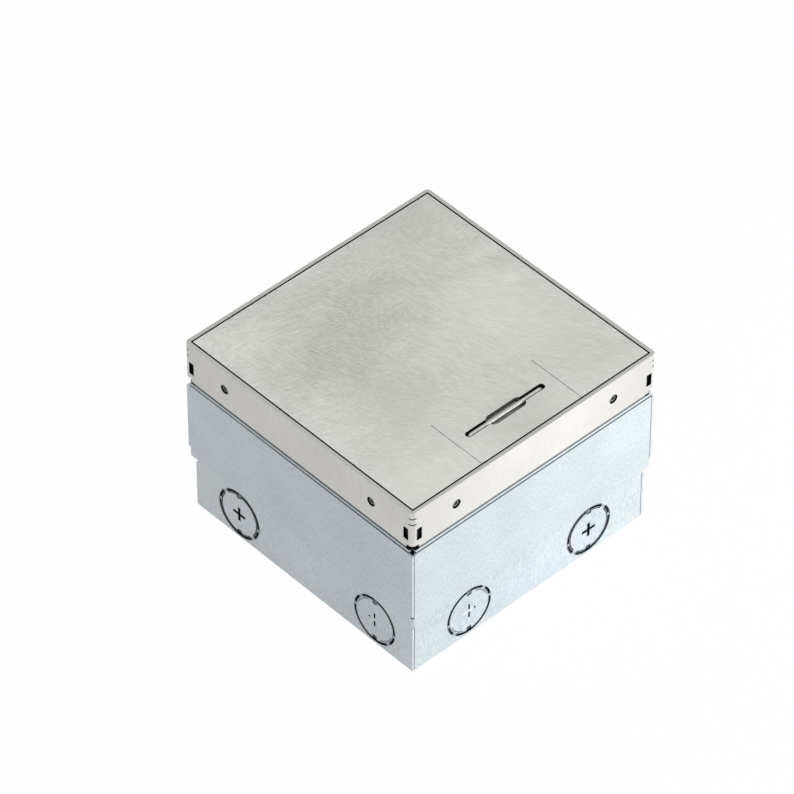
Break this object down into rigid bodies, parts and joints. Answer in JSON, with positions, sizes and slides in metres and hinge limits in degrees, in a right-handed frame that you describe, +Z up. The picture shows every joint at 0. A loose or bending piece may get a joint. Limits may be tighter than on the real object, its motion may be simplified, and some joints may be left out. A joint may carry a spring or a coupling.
{
  "type": "floor socket box",
  "caption": "Square underfloor service box of galvanised sheet with a stainless cover frame, a hinged lid, a sprung cord flap and a lifting handle.",
  "frame": {"origin": "centre of the square footprint, on the underside of the box floor", "axes": "+Z up through the lid, -Y towards the handle and cord flap, +X to the right seen from there"},
  "size_m": [0.14, 0.14, 0.0975],
  "materials": {
    "galvanised_steel": "satin",
    "lid_steel": "satin",
    "frame_steel": "satin",
    "inner_steel": "satin",
    "screw_steel": "satin",
    "polished_steel": "polished",
    "clip_steel": "satin",
    "brass": "satin",
    "white_plastic": "matte",
    "grey_plastic": "matte",
    "black_plastic": "matte",
    "seal_rubber": "matte"
  },
  "bodies": {
    "box": {"box_shell": "galvanised_steel", "knockouts_front": "galvanised_steel", "knockouts_right": "galvanised_steel", "knockouts_rear": "galvanised_steel", "knockouts_left": "galvanised_steel", "flange_nuts": "screw_steel", "device_carrier": "inner_steel", "carrier_pillars": "screw_steel", "carrier_screws": "screw_steel", "socket_insert_left": "white_plastic", "socket_insert_right": "white_plastic", "socket_bases": "white_plastic", "earth_clips": "brass", "socket_contacts": "brass", "data_insert": "grey_plastic", "data_jacks": "black_plastic", "blank_insert": "grey_plastic", "partition_plate": "inner_steel", "cable_clamps": "inner_steel", "clamp_screws": "screw_steel", "earth_stud": "brass", "earth_nut": "brass"},
    "cover_frame": {"trim_frame": "frame_steel", "corner_clips": "clip_steel", "frame_screws": "screw_steel", "support_rail_left": "inner_steel", "support_rail_right": "inner_steel", "support_rail_front_left": "inner_steel", "support_rail_front_right": "inner_steel", "lid_seal": "seal_rubber", "hinge_bracket_left": "inner_steel", "hinge_bracket_right": "inner_steel"},
    "lid": {"lid_plate": "lid_steel", "lid_pan": "inner_steel", "lid_rivets": "screw_steel", "lid_hinge_leaf_left": "inner_steel", "lid_hinge_leaf_right": "inner_steel", "lid_hinge_pin_left": "screw_steel", "lid_hinge_pin_right": "screw_steel", "flap_hinge_leaf_lid": "inner_steel", "flap_hinge_pin": "screw_steel", "latch_guides": "inner_steel"},
    "flap": {"flap_plate": "lid_steel", "flap_hinge_leaf_flap": "inner_steel", "flap_spring": "polished_steel", "handle_cup": "inner_steel"},
    "handle": {"handle_bail": "polished_steel", "bail_stops": "screw_steel"},
    "latch_left": {"flap_latch_left": "inner_steel"},
    "latch_right": {"flap_latch_right": "inner_steel"},
    "levelling_front_left": {"levelling_screw_front_left": "screw_steel", "retaining_ring_front_left": "screw_steel"},
    "levelling_front_right": {"levelling_screw_front_right": "screw_steel", "retaining_ring_front_right": "screw_steel"},
    "levelling_rear_left": {"levelling_screw_rear_left": "screw_steel", "retaining_ring_rear_left": "screw_steel"},
    "levelling_rear_right": {"levelling_screw_rear_right": "screw_steel", "retaining_ring_rear_right": "screw_steel"},
    "dust_flap_left": {"dust_flap_left": "grey_plastic"},
    "dust_flap_right": {"dust_flap_right": "grey_plastic"}
  },
  "joints": [
    {"name": "frame_levelling", "type": "slide", "parent": "box", "child": "cover_frame", "axis": [0, 0, 1], "range_m": [0, 0.01]},
    {"name": "lid_hinge", "type": "hinge", "parent": "cover_frame", "child": "lid", "pos_m": [0, 0.0557, 0.0942], "axis": [-1, 0, 0], "range_deg": [0, 90]},
    {"name": "flap_hinge", "type": "hinge", "parent": "lid", "child": "flap", "pos_m": [0, -0.0371, 0.0927], "axis": [1, 0, 0], "range_deg": [0, 85], "stiffness_Nm_per_rad": 0.03, "springref_deg": -137.51},
    {"name": "handle_lift", "type": "slide", "parent": "flap", "child": "handle", "axis": [0, 0, 1], "range_m": [0, 0.008]},
    {"name": "latch_slide_left", "type": "slide", "parent": "lid", "child": "latch_left", "axis": [1, 0, 0], "range_m": [0, 0.003]},
    {"name": "latch_slide_right", "type": "slide", "parent": "lid", "child": "latch_right", "axis": [-1, 0, 0], "range_m": [0, 0.003]},
    {"name": "screw_turn_front_left", "type": "hinge", "parent": "cover_frame", "child": "levelling_front_left", "pos_m": [-0.061, -0.05, 0.0786], "axis": [0, 0, 1], "range_deg": [0, 4500]},
    {"name": "screw_turn_front_right", "type": "hinge", "parent": "cover_frame", "child": "levelling_front_right", "pos_m": [0.061, -0.05, 0.0786], "axis": [0, 0, 1], "range_deg": [0, 4500]},
    {"name": "screw_turn_rear_left", "type": "hinge", "parent": "cover_frame", "child": "levelling_rear_left", "pos_m": [-0.061, 0.05, 0.0786], "axis": [0, 0, 1], "range_deg": [0, 4500]},
    {"name": "screw_turn_rear_right", "type": "hinge", "parent": "cover_frame", "child": "levelling_rear_right", "pos_m": [0.061, 0.05, 0.0786], "axis": [0, 0, 1], "range_deg": [0, 4500]},
    {"name": "dust_flap_hinge_left", "type": "hinge", "parent": "box", "child": "dust_flap_left", "pos_m": [-0.0335, -0.015, 0.0425], "axis": [-1, 0, 0], "range_deg": [0, 110], "stiffness_Nm_per_rad": 0.0006, "springref_deg": -85.94},
    {"name": "dust_flap_hinge_right", "type": "hinge", "parent": "box", "child": "dust_flap_right", "pos_m": [-0.0135, -0.015, 0.0425], "axis": [-1, 0, 0], "range_deg": [0, 110], "stiffness_Nm_per_rad": 0.0006, "springref_deg": -85.94}
  ],
  "couplings": [
    {"joint": "screw_turn_front_left", "follows": "frame_levelling", "rad_per_m": 7854},
    {"joint": "screw_turn_front_right", "follows": "frame_levelling", "rad_per_m": 7854},
    {"joint": "screw_turn_rear_left", "follows": "frame_levelling", "rad_per_m": 7854},
    {"joint": "screw_turn_rear_right", "follows": "frame_levelling", "rad_per_m": 7854}
  ]
}
